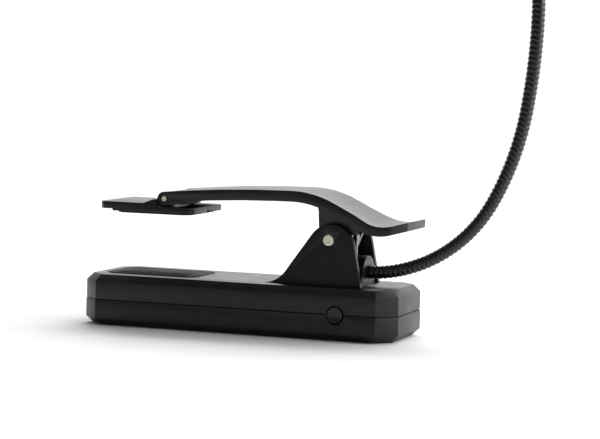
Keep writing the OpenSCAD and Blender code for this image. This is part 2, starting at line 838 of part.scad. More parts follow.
module head_collar() {
    color([0.1, 0.1, 0.105])
    at_head() difference() {
        bar_x(neck_r + 1.4, -collar_seat + 0.1, head_x0 - 0.05);
        bar_x(neck_r - 0.3 + run_fit, -5, 0.05);
        bar_x(bore_r, -1, head_x0 + 1);
    }
}

module head_cover() {
    color([0.11, 0.11, 0.115])
    at_head() difference() {
        union() {
            translate([head_x0 + head_len / 2, 0, -head_t / 2 + head_t - bezel_t])
                mirror([0, 0, 1])
                    half_case(head_len, head_w, head_corner, head_t - bezel_t, head_edge,
                              head_wall);
            for (x = [head_x0 + 7, head_x0 + head_len - 7]) for (s = [-1, 1])
                translate([x, s * (head_w / 2 - 5), -head_t / 2 + head_wall / 2])
                    cylinder(r = 2.2, h = head_t - bezel_t - head_wall / 2);
        }
        for (x = [head_x0 + 7, head_x0 + head_len - 7]) for (s = [-1, 1])
            translate([x, s * (head_w / 2 - 5), head_t / 2 - bezel_t - 5])
                cylinder(r = head_screw_r - 0.15, h = 6);
        bar_x(bore_r, head_x0 - 1, head_x0 + head_wall + 1);
        // Cooling slots in the back
        for (i = [-3 : 3])
            translate([head_x0 + head_len / 2 + 5 * i - 0.7, -8, -head_t / 2 - 1])
                cube([1.4, 16, head_wall + 2]);
    }
}

module head_bezel() {
    z0 = head_t / 2 - bezel_t;
    l = head_len - 2 * window_rim - 12;
    w = head_w - 2 * window_rim - 3;
    color([0.11, 0.11, 0.115])
    at_head() difference() {
        translate([head_x0 + head_len / 2, 0, z0])
            chamfered_block(head_len, head_w, head_corner, bezel_t, 1);
        translate([head_x0 + head_len / 2, 0, z0 - 1]) linear_extrude(bezel_t + 2)
            octagon(l, w, 4);
        translate([head_x0 + head_len / 2, 0, z0 - 1]) linear_extrude(1 + bezel_t - 1)
            octagon(l + 2.4, w + 2.4, 4.6);
        for (x = [head_x0 + 7, head_x0 + head_len - 7]) for (s = [-1, 1])
            translate([x, s * (head_w / 2 - 5), z0 - 1]) {
                cylinder(r = head_screw_r + 0.15, h = bezel_t + 2);
                translate([0, 0, 1 + bezel_t - 1.3]) cylinder(r = 2, h = 2);
            }
    }
}

module head_diffuser() {
    l = head_len - 2 * window_rim - 12;
    w = head_w - 2 * window_rim - 3;
    color([0.95, 0.95, 0.92])
    at_head() translate([head_x0 + head_len / 2, 0, head_t / 2 - 1 - diffuser_t - 0.05])
        linear_extrude(diffuser_t) octagon(l + 2, w + 2, 4.4);
}

module led_board() {
    l = head_len - 2 * window_rim - 14;
    w = head_w - 2 * window_rim - 6;
    color([0.9, 0.9, 0.9])
    at_head() translate([head_x0 + head_len / 2 - l / 2, -w / 2, 0.2]) cube([l, w, led_board_t]);
}

module leds() {
    l = head_len - 2 * window_rim - 14;
    gap = l / led_count;
    color([0.95, 0.85, 0.4])
    at_head() for (i = [0 : led_count - 1]) for (s = [-1, 1])
        translate([head_x0 + head_len / 2 + (i - (led_count - 1) / 2) * gap - 1.4,
                   s * 5.5 - 1.4, 0.2 + led_board_t])
            cube([2.8, 2.8, 0.8]);
}

module head_screws() {
    color([0.55, 0.55, 0.56])
    at_head() for (x = [head_x0 + 7, head_x0 + head_len - 7]) for (s = [-1, 1])
        translate([x, s * (head_w / 2 - 5), head_t / 2 - 1.3 - 5.6])
            screw(head_screw_r - 0.15, 1.8, 1, 5.6);
}

module head_lead() {
    color([0.15, 0.15, 0.15])
    at_head() wire([[head_x0 - 3, 0, 0], [head_x0 + 1.6, 0, 0], [head_x0 + 4, 0, -1],
                    [head_x0 + 8, 0, -2], [head_x0 + 13, 0, -1.6]], 1.1);
}

upper_case();
lower_case();
lower_grip_pad();
battery_door();
battery_door_screw();
case_screws();
battery_cells();
cell_springs();
cell_plates();
battery_leads();
circuit_board();
board_screws();
driver_parts();
tact_switch();
button_plunger();
button_cap();
main_pin();
torsion_spring();
neck_ferrule();
neck_locknut();
lamp_lead();
clip_lever();
pad_pin();
pad_plate();
pad_sole();
neck_root();
neck_link_1();
neck_link_2();
neck_link_3();
neck_link_4();
neck_link_5();
neck_link_6();
head_collar();
head_cover();
head_bezel();
head_diffuser();
led_board();
leds();
head_screws();
head_lead();
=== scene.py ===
import math

import bmesh
import bpy
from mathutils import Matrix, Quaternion, Vector


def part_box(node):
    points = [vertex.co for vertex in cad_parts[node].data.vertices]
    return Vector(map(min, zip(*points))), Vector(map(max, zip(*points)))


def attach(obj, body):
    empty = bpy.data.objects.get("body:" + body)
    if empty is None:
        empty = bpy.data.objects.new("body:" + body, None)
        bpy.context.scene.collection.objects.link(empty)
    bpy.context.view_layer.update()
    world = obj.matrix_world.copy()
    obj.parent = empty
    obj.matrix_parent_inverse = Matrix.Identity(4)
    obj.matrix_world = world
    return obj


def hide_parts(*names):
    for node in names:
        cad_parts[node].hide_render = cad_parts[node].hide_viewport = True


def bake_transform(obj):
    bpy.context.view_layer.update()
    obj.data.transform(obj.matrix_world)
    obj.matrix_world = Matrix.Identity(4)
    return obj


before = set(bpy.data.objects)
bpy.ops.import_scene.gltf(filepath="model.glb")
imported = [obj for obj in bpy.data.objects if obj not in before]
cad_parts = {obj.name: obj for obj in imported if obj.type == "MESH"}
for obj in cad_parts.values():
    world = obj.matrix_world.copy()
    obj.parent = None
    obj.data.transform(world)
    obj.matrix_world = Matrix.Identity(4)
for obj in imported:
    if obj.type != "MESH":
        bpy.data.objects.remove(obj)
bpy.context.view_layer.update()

# ---- The bench ----
# A pale floor that fades out into a pale room, one wide soft light behind and above the lamp, one on
# the neck's side and a weak one in front, so that black plastic shows its edges against a dark front.


def linear(hex_code):
    """An sRGB hex colour as linear red, green, blue and alpha."""
    parts = [int(hex_code[i : i + 2], 16) / 255 for i in (0, 2, 4)]
    return [p / 12.92 if p <= 0.04045 else ((p + 0.055) / 1.055) ** 2.4 for p in parts] + [1]


def add_node(tree, kind, settings=None, links=None):
    """A new node. settings gives its attributes, and its sockets' values by name or number. links joins
    its sockets to outputs of other nodes."""
    node = tree.nodes.new(kind)
    for name, value in (settings or {}).items():
        if isinstance(name, str) and hasattr(node, name):
            setattr(node, name, value)
        else:
            node.inputs[name].default_value = value
    for name, output in (links or {}).items():
        tree.links.new(output, node.inputs[name])
    return node


def new_material(name, shader):
    """A material, its node tree and its shader node, with the shader's constant values set."""
    material = bpy.data.materials.new(name)
    material.use_nodes = True
    node = material.node_tree.nodes["Principled BSDF"]
    for socket, value in shader.items():
        node.inputs[socket].default_value = value
    return material, material.node_tree, node


def link(name, mesh):
    """A new object with that mesh, in the scene."""
    made = bpy.data.objects.new(name, mesh)
    bpy.context.scene.collection.objects.link(made)
    return made


def painted_floor():
    """Matt white paint with a hardly visible speckle. It mirrors nothing and fades out far from the lamp,
    so the lamp's soft shadow is all that shows of it."""
    material, tree, shader = new_material(
        "matt_white_floor", {"Roughness": 0.9, "Specular IOR Level": 0.1}
    )
    place = add_node(tree, "ShaderNodeTexCoord")
    speckle = add_node(
        tree, "ShaderNodeTexNoise", {"Scale": 60.0, "Detail": 3.0}, {"Vector": place.outputs["Object"]}
    )
    tint = add_node(
        tree,
        "ShaderNodeMix",
        {"data_type": "RGBA", 6: linear("f4f4f2"), 7: linear("f8f8f7")},
        {"Factor": speckle.outputs[0]},
    )
    far = add_node(tree, "ShaderNodeVectorMath", {"operation": "LENGTH"}, {0: place.outputs["Object"]})
    fade = add_node(
        tree,
        "ShaderNodeMapRange",
        {
            "interpolation_type": "SMOOTHSTEP",
            "From Min": 0.4,
            "From Max": 1.3,
            "To Min": 1.0,
            "To Max": 0.0,
        },
        {"Value": far.outputs["Value"]},
    )
    tree.links.new(tint.outputs[2], shader.inputs["Base Color"])
    tree.links.new(fade.outputs[0], shader.inputs["Alpha"])
    return material


def lay_floor(height, reach=1.4):
    """A square floor at a height, out to a reach on each side."""
    mesh = bpy.data.meshes.new("floor")
    corners = [(-reach, -reach), (reach, -reach), (reach, reach), (-reach, reach)]
    mesh.from_pydata([(x, y, height) for x, y in corners], [], [(0, 1, 2, 3)])
    mesh.materials.append(painted_floor())
    link("floor", mesh)


def soft_light(name, place, towards, width, height, power):
    """A rectangular area light that faces a point. Power is in watts."""
    data = bpy.data.lights.new(name, "AREA")
    data.shape = "RECTANGLE"
    data.size = width
    data.size_y = height
    data.energy = power
    lamp = link(name, data)
    lamp.location = place
    lamp.rotation_mode = "QUATERNION"
    lamp.rotation_quaternion = (Vector(towards) - Vector(place)).to_track_quat("-Z", "Y")


def pale_room():
    """A plain pale room. What the lamp reflects is bright behind it and beside its neck, and dim in
    front."""
    world = bpy.data.worlds.new("pale_room")
    bpy.context.scene.world = world
    world.use_nodes = True
    tree = world.node_tree
    tree.nodes.clear()
    place = add_node(tree, "ShaderNodeTexCoord")
    split = add_node(tree, "ShaderNodeSeparateXYZ", {}, {0: place.outputs["Generated"]})
    side_share = 0.45
    side = add_node(
        tree, "ShaderNodeMath", {"operation": "MULTIPLY", 1: side_share}, {0: split.outputs["X"]}
    )
    depth = add_node(
        tree, "ShaderNodeMath", {"operation": "ADD"}, {0: split.outputs["Y"], 1: side.outputs[0]}
    )
    glow = add_node(
        tree,
        "ShaderNodeMapRange",
        {
            "interpolation_type": "SMOOTHSTEP",
            "From Min": -0.6,
            "From Max": 0.75,
            "To Min": 0.03,
            "To Max": 1.2,
        },
        {"Value": depth.outputs[0]},
    )
    mirrored = add_node(
        tree, "ShaderNodeBackground", {"Color": linear("ffffff")}, {"Strength": glow.outputs[0]}
    )
    seen = add_node(tree, "ShaderNodeBackground", {"Color": linear("ffffff"), "Strength": 1.0})
    ray = add_node(tree, "ShaderNodeLightPath")
    both = add_node(
        tree,
        "ShaderNodeMixShader",
        {},
        {0: ray.outputs["Is Camera Ray"], 1: mirrored.outputs[0], 2: seen.outputs[0]},
    )
    add_node(tree, "ShaderNodeOutputWorld", {}, {"Surface": both.outputs[0]})


def set_camera():
    """A long lens a metre away, a little above the base and towards the neck's end, leaning slightly."""
    data = bpy.data.cameras.new("camera")
    data.lens = 131.0
    data.sensor_width = 36.0
    data.clip_start = 0.01
    camera = link("camera", data)
    camera.location = (0.3931, -0.9306, 0.1018)
    aim = Vector((0.0636, 0.0105, 0.0265)) - camera.location
    lean = Quaternion((0, 0, 1), math.radians(1.48))
    camera.rotation_mode = "QUATERNION"
    camera.rotation_quaternion = aim.to_track_quat("-Z", "Y") @ lean
    bpy.context.scene.camera = camera


floor_gap = 0.0002
set_camera()
pale_room()
lay_floor(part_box("lower_case")[0][2] - floor_gap)
lamp_middle = (0.05, 0, 0.05)
soft_light("back_light", (0.0, 1.1, 1.2), lamp_middle, 1.6, 1.0, 24)
soft_light("neck_side_light", (1.3, 0.3, 0.5), lamp_middle, 0.9, 0.9, 9)
soft_light("front_light", (-0.4, -1.3, 0.9), lamp_middle, 0.8, 0.8, 1.5)
bpy.context.scene.view_settings.view_transform = "Standard"

# ---- Case shells ----
# The base housing is an upper shell, with both ears and the neck boss in the same moulding, and a lower
# shell. Both are injection-moulded black ABS, spark-eroded to a fine matt grain, with edges eased by the
# mould, and they are screwed together from below.


# One millimetre in metres, the unit of the frame. Corners of a CAD mesh that lie closer together than
# the weld are one corner.
MM = 0.001
weld = 0.002 * MM


def join_finish(tree, node, colours, share, rough, wear, bump, height):
    """Joins patterns to a shader. share mixes its two colours, wear runs between its lowest and highest
    roughness, and height lifts its surface."""
    tint = add_node(
        tree,
        "ShaderNodeMix",
        {"data_type": "RGBA", 6: linear(colours[0]), 7: linear(colours[1])},
        {"Factor": share},
    )
    dulling = add_node(
        tree,
        "ShaderNodeMapRange",
        {"From Min": 0.3, "From Max": 0.7, "To Min": rough[0], "To Max": rough[1]},
        {"Value": wear},
    )
    relief = add_node(tree, "ShaderNodeBump", bump, {"Height": height})
    tree.links.new(tint.outputs[2], node.inputs["Base Color"])
    tree.links.new(dulling.outputs[0], node.inputs["Roughness"])
    tree.links.new(relief.outputs[0], node.inputs["Normal"])


def grained(name, dark, light, grain, depth, rough, shader, blotch=9.0):
    """A moulded or coated finish. grain is the width of its grain and depth the height, blotch the width
    of its faint patches, all in mm, and rough the lowest and highest roughness."""
    speck_share = 0.4
    material, tree, node = new_material(name, shader)
    place = add_node(tree, "ShaderNodeTexCoord")
    patches = add_node(
        tree,
        "ShaderNodeTexNoise",
        {"Scale": 1 / (blotch * MM), "Detail": 4.0, "Roughness": 0.6},
        {"Vector": place.outputs["Object"]},
    )
    specks = add_node(
        tree,
        "ShaderNodeTexNoise",
        {"Scale": 1 / (grain * MM), "Detail": 2.0, "Roughness": 0.55},
        {"Vector": place.outputs["Object"]},
    )
    blend = add_node(
        tree,
        "ShaderNodeMath",
        {"operation": "MULTIPLY_ADD", 1: speck_share},
        {0: specks.outputs[0], 2: patches.outputs[0]},
    )
    share = add_node(
        tree, "ShaderNodeMapRange", {"From Min": 0.45, "From Max": 0.95}, {"Value": blend.outputs[0]}
    )
    bump = {"Strength": 1.0, "Distance": depth * MM}
    join_finish(
        tree,
        node,
        (dark, light),
        share.outputs[0],
        rough,
        patches.outputs[0],
        bump,
        specks.outputs[0],
    )
    return material


def plain_mesh(made):
    """Turns an object's modifiers into plain mesh and removes them."""
    graph = bpy.context.evaluated_depsgraph_get()
    mesh = bpy.data.meshes.new_from_object(made.evaluated_get(graph))
    made.modifiers.clear()
    made.data = mesh
    return made


def fit(piece, material, body, slot_name, *nodes):
    """Gives a finished piece its material and its body, and hides the CAD nodes that it stands for.
    slot_name is not used.
    """
    piece.data.materials.clear()
    piece.data.materials.append(material)
    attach(piece, body)
    if nodes:
        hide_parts(*nodes)
    return piece


def eased(node, name, radius, segments=3):
    """A copy of a CAD node whose hard edges are rounded to a radius in mm, as a mould leaves them. Faces
    that meet below the flat angle are joined, and edges above the hard angle are rounded."""
    flat, hard, crease = 0.8, 26, 32
    form = bmesh.new()
    form.from_mesh(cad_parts[node].data)
    bmesh.ops.remove_doubles(form, verts=form.verts, dist=weld)
    bmesh.ops.dissolve_limit(form, angle_limit=math.radians(flat), verts=form.verts, edges=form.edges)
    mesh = bpy.data.meshes.new(name)
    form.to_mesh(mesh)
    form.free()
    piece = link(name, mesh)
    rounding = piece.modifiers.new("rounding", "BEVEL")
    rounding.width = radius * MM
    rounding.segments = segments
    rounding.limit_method = "ANGLE"
    rounding.angle_limit = math.radians(hard)
    rounding.miter_outer = "MITER_ARC"
    plain_mesh(piece)
    piece.data.shade_smooth()
    piece.data.set_sharp_from_angle(angle=math.radians(crease))
    return piece


# Light from the dim front barely lifts the ABS, while its flat top mirrors the bright room behind.
# The grain is drawn 0.45 mm wide, coarser than the real 0.1 mm, so that it shows.
case_abs = grained(
    "spark_eroded_black_abs",
    "09090a",
    "101011",
    0.45,
    0.008,
    (0.34, 0.44),
    {"IOR": 1.5, "Specular IOR Level": 0.4},
)
for node in ("upper_case", "lower_case"):
    fit(eased(node, node + "_shell", 0.3), case_abs, "base", "case_abs", node)

# ---- Battery door and screws ----
# The door is a flat ABS cover in the underside with finger grooves. Zinc-plated cross-head screws hold
# the door, the two shells, the circuit board and the head's bezel. A locknut of the same finish holds
# the neck inside the base.


def brushed(name, dark, light, width, rough, shader, stretch=(1.0, 1.0, 0.06)):
    """A drawn or plated metal with fine streaks. width is theirs in mm, and rough is the lowest and
    highest roughness."""
    streak_depth = 0.004
    material, tree, node = new_material(name, dict({"Metallic": 1.0}, **shader))
    place = add_node(tree, "ShaderNodeTexCoord")
    pulled = add_node(tree, "ShaderNodeMapping", {"Scale": stretch}, {"Vector": place.outputs["Object"]})
    streaks = add_node(
        tree,
        "ShaderNodeTexNoise",
        {"Scale": 1 / (width * MM), "Detail": 3.0},
        {"Vector": pulled.outputs[0]},
    )
    streak = streaks.outputs[0]
    bump = {"Strength": 0.6, "Distance": streak_depth * MM}
    join_finish(tree, node, (dark, light), streak, rough, streak, bump, streak)
    return material


def keep(node, material):
    """Leaves a CAD node in view, since its shape is right, and gives it a real finish."""
    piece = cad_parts[node]
    if not piece.material_slots:
        piece.data.materials.append(material)
    for place in piece.material_slots:
        place.material = material


# Bright zinc has a faint blue cast and fine streaks that dull it here and there.
zinc = brushed("bright_zinc_plating", "8d9094", "b9bcc0", 0.25, (0.28, 0.45), {})
fit(eased("battery_door", "battery_door_cover", 0.18), case_abs, "base", "case_abs", "battery_door")
for node, body in (
    ("case_screws", "base"),
    ("battery_door_screw", "base"),
    ("board_screws", "base"),
    ("head_screws", "head"),
):
    fit(eased(node, node + "_turned", 0.06, 2), zinc, body, "zinc_screw", node)
keep("neck_locknut", zinc)

# ---- Rubber pads ----
# The board rests on one pad and is pressed by the other. Both are moulded black rubber with cross ribs,
# glued into shallow seats in the base and in the pressure pad.


def new_tree(name, inputs):
    """A geometry node tree with named inputs, given as {name: socket kind}, and its in and out nodes."""
    tree = bpy.data.node_groups.new(name, "GeometryNodeTree")
    tree.interface.new_socket("Geometry", in_out="INPUT", socket_type="NodeSocketGeometry")
    for label, kind in inputs.items():
        tree.interface.new_socket(label, in_out="INPUT", socket_type="NodeSocket" + kind)
    tree.interface.new_socket("Geometry", in_out="OUTPUT", socket_type="NodeSocketGeometry")
    return tree, tree.nodes.new("NodeGroupInput"), tree.nodes.new("NodeGroupOutput")


def close_tree(tree, output, geometry, material):
    """Ends a tree as real mesh with its material set."""
    real = add_node(tree, "GeometryNodeRealizeInstances", {}, {0: geometry})
    smooth = add_node(tree, "GeometryNodeSetShadeSmooth", {}, {"Geometry": real.outputs[0]})
    coated = add_node(
        tree, "GeometryNodeSetMaterial", {}, {"Geometry": smooth.outputs[0], "Material": material}
    )
    tree.links.new(coated.outputs[0], output.inputs[0])


def put_tree(made, tree, values):
    """Puts a tree on an object, with its named inputs set."""
    grower = made.modifiers.new("grower", "NODES")
    grower.node_group = tree
    for item in tree.interface.items_tree:
        if item.item_type == "SOCKET" and item.in_out == "INPUT" and item.name in values:
            grower[item.identifier] = values[item.name]


def rib_tree():
    """Half-round ribs across Y, one pitch apart along X, on the slab that comes in as a mesh."""
    tree, given, output = new_tree(
        "cross_ribs",
        {
            "First": "Vector",
            "Pitch": "Float",
            "Ribs": "Int",
            "Rib Length": "Float",
            "Rib Radius": "Float",
            "Finish": "Material",
        },
    )
    step = add_node(tree, "ShaderNodeCombineXYZ", {}, {"X": given.outputs["Pitch"]})
    row = add_node(
        tree,
        "GeometryNodeMeshLine",
        {"mode": "OFFSET"},
        {
            "Count": given.outputs["Ribs"],
            "Start Location": given.outputs["First"],
            "Offset": step.outputs[0],
        },
    )
    rod = add_node(
        tree,
        "GeometryNodeMeshCylinder",
        {"Vertices": 12},
        {"Radius": given.outputs["Rib Radius"], "Depth": given.outputs["Rib Length"]},
    )
    laid = add_node(
        tree,
        "GeometryNodeTransform",
        {"Rotation": (math.pi / 2, 0, 0)},
        {"Geometry": rod.outputs[0]},
    )
    placed = add_node(
        tree, "GeometryNodeInstanceOnPoints", {}, {"Points": row.outputs[0], "Instance": laid.outputs[0]}
    )
    joined = add_node(tree, "GeometryNodeJoinGeometry")
    tree.links.new(given.outputs["Geometry"], joined.inputs[0])
    tree.links.new(placed.outputs[0], joined.inputs[0])
    close_tree(tree, output, joined.outputs[0], given.outputs["Finish"])
    return tree


def octagon_slab(name, low, high, corner, radius):
    """A flat block with cut corners and eased edges, between two corners of a box. Sizes in mm."""
    cut = corner * MM
    outline = [
        (low[0] + cut, low[1]),
        (high[0] - cut, low[1]),
        (high[0], low[1] + cut),
        (high[0], high[1] - cut),
        (high[0] - cut, high[1]),
        (low[0] + cut, high[1]),
        (low[0], high[1] - cut),
        (low[0], low[1] + cut),
    ]
    form = bmesh.new()
    base = form.faces.new([form.verts.new((x, y, low[2])) for x, y in outline])
    raised = bmesh.ops.extrude_face_region(form, geom=[base])["geom"]
    moved = [v for v in raised if isinstance(v, bmesh.types.BMVert)]
    bmesh.ops.translate(form, verts=moved, vec=(0, 0, high[2] - low[2]))
    bmesh.ops.recalc_face_normals(form, faces=form.faces)
    bmesh.ops.bevel(
        form,
        geom=list(form.edges),
        offset=radius * MM,
        segments=3,
        profile=0.5,
        affect="EDGES",
    )
    mesh = bpy.data.meshes.new(name)
    form.to_mesh(mesh)
    form.free()
    mesh.shade_smooth()
    mesh.set_sharp_from_angle(angle=math.radians(40))
    return link(name, mesh)


# Rubber takes in nearly all light: no gloss, only a faint grey bloom in its grain.
rubber = grained(
    "moulded_black_rubber", "111111", "1e1e1d", 0.5, 0.02, (0.7, 0.85), {"Specular IOR Level": 0.25}
)
ribs = rib_tree()

# Sizes of both pads in mm. The ribs stand half their radius above the slab and stop short of its edges.
rib_radius = 0.45
rib_proud = 0.5 * rib_radius
pad_rib_pitch = 2.0
pad_end_margin = 4.0
pad_side_margin = 2.0
pad_corner = 3.4
pad_easing = 0.2


def ribbed_pad(name, node, ribs_up, body):
    """A rubber pad with ribs on the face that grips. Its slab stops below the ribs' crests, so that they
    reach the CAD pad's face."""
    low, high = [Vector(corner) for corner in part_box(node)]
    slab_low, slab_high = low.copy(), high.copy()
    if ribs_up:
        slab_high[2] -= rib_proud * MM
        rib_height = high[2] - rib_radius * MM
    else:
        slab_low[2] += rib_proud * MM
        rib_height = low[2] + rib_radius * MM
    slab = octagon_slab(name, slab_low, slab_high, pad_corner, pad_easing)
    pitch = pad_rib_pitch * MM
    count = int((high[0] - low[0] - 2 * pad_end_margin * MM) / pitch)
    first = (low[0] + high[0]) / 2 - pitch * (count - 1) / 2
    put_tree(
        slab,
        ribs,
        {
            "First": (first, (low[1] + high[1]) / 2, rib_height),
            "Pitch": pitch,
            "Ribs": count,
            "Rib Length": high[1] - low[1] - 2 * pad_side_margin * MM,
            "Rib Radius": rib_radius * MM,
            "Finish": rubber,
        },
    )
    fit(plain_mesh(slab), rubber, body, "rubber_pad", node)


ribbed_pad("lower_grip_rubber", "lower_grip_pad", True, "base")
ribbed_pad("pad_sole_rubber", "pad_sole", False, "pressure_pad")

# ---- Cells and contacts ----
# Three AA cells lie side by side in the base between coned contact springs and sprung plates. Each has
# a plain shrink sleeve over a steel can. None of them shows until the door is off.

# The sleeve is plain dark blue, and its clear skin gives each cell one soft line of light.
cell_sleeve = grained(
    "printed_pvc_shrink_sleeve", "1f3a63", "27467a", 1.2, 0.01, (0.25, 0.35), {"Coat Weight": 0.3}
)
# Nickel plate looks warm and satin, with fine upright streaks.
contact_nickel = brushed("nickel_plated_sheet", "a19d90", "c6c2b5", 0.4, (0.25, 0.4), {})
keep("battery_cells", cell_sleeve)
keep("cell_plates", contact_nickel)
# Soft PVC is black with a low sheen, between the rubber and the case.
lead_pvc = grained("soft_pvc_lead_sleeve", "141414", "1f1f20", 0.6, 0.01, (0.4, 0.5), {})
for node in ("battery_leads", "lamp_lead", "head_lead"):
    keep(node, lead_pvc)

# ---- Circuit board and switch ----
# A small glass-epoxy board with a driver chip, a coil, a capacitor and a side-pressed tact switch, held
# on two posts.

# Solder mask is a clear green skin with a small sharp highlight.
board_mask = grained("green_solder_mask", "0c4a26", "126034", 0.8, 0.01, (0.25, 0.35), {})
# Moulded epoxy is dry dark grey with hardly a highlight.
epoxy = grained("moulded_black_epoxy", "1b1b1c", "29292a", 0.2, 0.01, (0.45, 0.6), {})
# Nylon is creamy white with a waxy sheen.
nylon = grained("moulded_white_nylon", "d2d1c6", "dedcd1", 0.6, 0.005, (0.35, 0.45), {})
keep("circuit_board", board_mask)
keep("driver_parts", epoxy)
keep("tact_switch", epoxy)
keep("button_plunger", nylon)

# ---- Push button ----
# A round ABS cap with a shallow dish, in a chamfered hole across the parting line. It is moulded smooth,
# so it is a little glossier than the case round it.

# Its fine grain mirrors the room a little more clearly, so that the dish shows.
button_abs = grained(
    "polished_black_abs",
    "0c0c0d",
    "131314",
    0.6,
    0.004,
    (0.26, 0.32),
    {"IOR": 1.5, "Specular IOR Level": 0.42},
)
fit(eased("button_cap", "button_cap_moulding", 0.5), button_abs, "button", "button_abs", "button_cap")

# ---- Pins ----
# Both pins are turned steel, nickel plated, and their ends are spun over into a low dome with a ring
# where the riveting tool pressed.

# The plating is nearly white and a little dulled, so that each head shows as one pale disc.
pin_nickel = brushed("nickel_plated_pin", "d2cec1", "efece1", 0.5, (0.34, 0.46), {})


def turned(name, outline, middle, direction, segments=32):
    """A lathe-turned mesh. outline is (radius, height) pairs in mm, from the axis out and back to it,
    which are turned about a line through middle in a direction."""
    form = bmesh.new()
    aim = Vector(direction).to_track_quat("Z", "Y")
    rings = []
    for radius, height in outline:
        if radius == 0:
            rings.append([form.verts.new(middle + aim @ Vector((0, 0, height * MM)))])
            continue
        ring = []
        for k in range(segments):
            angle = 2 * math.pi * k / segments
            spot = Vector((radius * math.cos(angle), radius * math.sin(angle), height)) * MM
            ring.append(form.verts.new(middle + aim @ spot))
        rings.append(ring)
    for low, high in zip(rings, rings[1:]):
        for k in range(segments):
            corners = [low[k % len(low)], low[(k + 1) % len(low)]]
            corners += [high[(k + 1) % len(high)], high[k % len(high)]]
            form.faces.new(list(dict.fromkeys(corners)))
    bmesh.ops.recalc_face_normals(form, faces=form.faces)
    mesh = bpy.data.meshes.new(name)
    form.to_mesh(mesh)
    form.free()
    mesh.shade_smooth()
    mesh.set_sharp_from_angle(angle=math.radians(40))
    return link(name, mesh)


def riveted_pin(name, node, shank, head, sink, material, body, slot_name):
    """A pin along Y through a CAD pin's box. shank and head are radii and sink is the head's thickness,
    in mm."""
    low, high = [Vector(corner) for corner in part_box(node)]
    middle = (low + high) / 2
    half = (high[1] - low[1]) / 2 / MM
    dome = [
        (0, half - 0.1),
        (0.24 * head, half - 0.1),
        (0.29 * head, half - 0.22),
        (0.38 * head, half - 0.22),
        (0.44 * head, half - 0.05),
        (0.7 * head, half),
        (0.86 * head, half - 0.03),
        (0.95 * head, half - 0.13),
        (head, half - 0.32),
        (head, half - sink),
        (shank, half - sink),
    ]
    outline = [(radius, -height) for radius, height in dome] + dome[::-1]
    pin = turned(name, outline, middle, (0, 1, 0))
    fit(pin, material, body, slot_name, node)


riveted_pin("main_pin_riveted", "main_pin", 2.0, 2.7, 0.95, pin_nickel, "base", "nickel_pin")
riveted_pin("pad_pin_riveted", "pad_pin", 1.25, 1.3, 0.6, pin_nickel, "lever", "nickel_pin")

# ---- Clip spring ----
# Two mirrored coils of drawn spring wire round the lever's hub. Each has a foot down in the boss and a
# free end that bears under the strap, so the coil winds up as the lever opens.

# Drawn wire is mid grey, with a thin bright line along each turn.
spring_wire = brushed("drawn_spring_wire", "85878a", "b4b6b9", 0.2, (0.2, 0.34), {}, (1.0, 1.0, 1.0))


def wire_tree():
    """A round wire along the incoming curve."""
    tree, given, output = new_tree(
        "round_wire", {"Wire Radius": "Float", "Spacing": "Float", "Sides": "Int", "Finish": "Material"}
    )
    fine = add_node(
        tree,
        "GeometryNodeResampleCurve",
        {"mode": "LENGTH"},
        {"Curve": given.outputs["Geometry"], "Length": given.outputs["Spacing"]},
    )
    ring = add_node(
        tree,
        "GeometryNodeCurvePrimitiveCircle",
        {},
        {"Resolution": given.outputs["Sides"], "Radius": given.outputs["Wire Radius"]},
    )
    skin = add_node(
        tree,
        "GeometryNodeCurveToMesh",
        {"Fill Caps": True},
        {"Curve": fine.outputs[0], "Profile Curve": ring.outputs[0]},
    )
    close_tree(tree, output, skin.outputs[0], given.outputs["Finish"])
    return tree


def route(name, points):
    """A curve of straight stretches through points in metres."""
    data = bpy.data.curves.new(name, "CURVE")
    data.dimensions = "3D"
    line = data.splines.new("POLY")
    line.points.add(len(points) - 1)
    for spot, point in zip(line.points, points):
        spot.co = (*point, 1)
    return link(name, data)


def as_mesh(made, tree, values):
    """Grows a curve object into a new mesh object of the same name and removes the curve."""
    name = made.name
    put_tree(made, tree, values)
    graph = bpy.context.evaluated_depsgraph_get()
    mesh = bpy.data.meshes.new_from_object(made.evaluated_get(graph))
    bpy.data.objects.remove(made)
    return link(name, mesh)


wires = wire_tree()
pin_low, pin_high = [Vector(corner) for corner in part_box("main_pin")]
pin_at = (pin_low + pin_high) / 2

# Sizes in mm, measured from the middle of the main pin.
wire_radius = 0.6
coil_radius = 7.6
coil_pitch = 1.3
coil_turns = 2 + 340 / 360
leg_y = 3.5
leg_top = 3.0
foot_drop = 10.0
leg_reach = 10.6


def coil_route(side):
    """The wire's middle line from its foot, up the leg, round the coil and straight on to its end."""
    last = 2 * math.pi * coil_turns
    steps = 150
    points = [(coil_radius, leg_y, -foot_drop), (coil_radius, leg_y, -leg_top)]
    for k in range(steps + 1):
        angle = last * k / steps
        points.append(
            (
                coil_radius * math.cos(angle),
                leg_y + coil_pitch * angle / (2 * math.pi),
                coil_radius * math.sin(angle),
            )
        )
    tip = points[-1]
    slope = math.tan(last - math.pi / 2)
    points.append((leg_reach, tip[1], tip[2] + (leg_reach - tip[0]) * slope))
    return [pin_at + Vector((x, side * y, z)) * MM for x, y, z in points]


for label, side in (("far", 1), ("near", -1)):
    coil = as_mesh(
        route("clip_spring_" + label, coil_route(side)),
        wires,
        {"Wire Radius": wire_radius * MM, "Spacing": 0.5 * MM, "Sides": 14, "Finish": spring_wire},
    )
    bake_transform(coil)
    if side == 1:
        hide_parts("torsion_spring")

# ---- Contact springs ----
# Each cell is pressed against its plate by a coned spring of thin drawn wire, which closes nearly flat
# when the cell goes in.


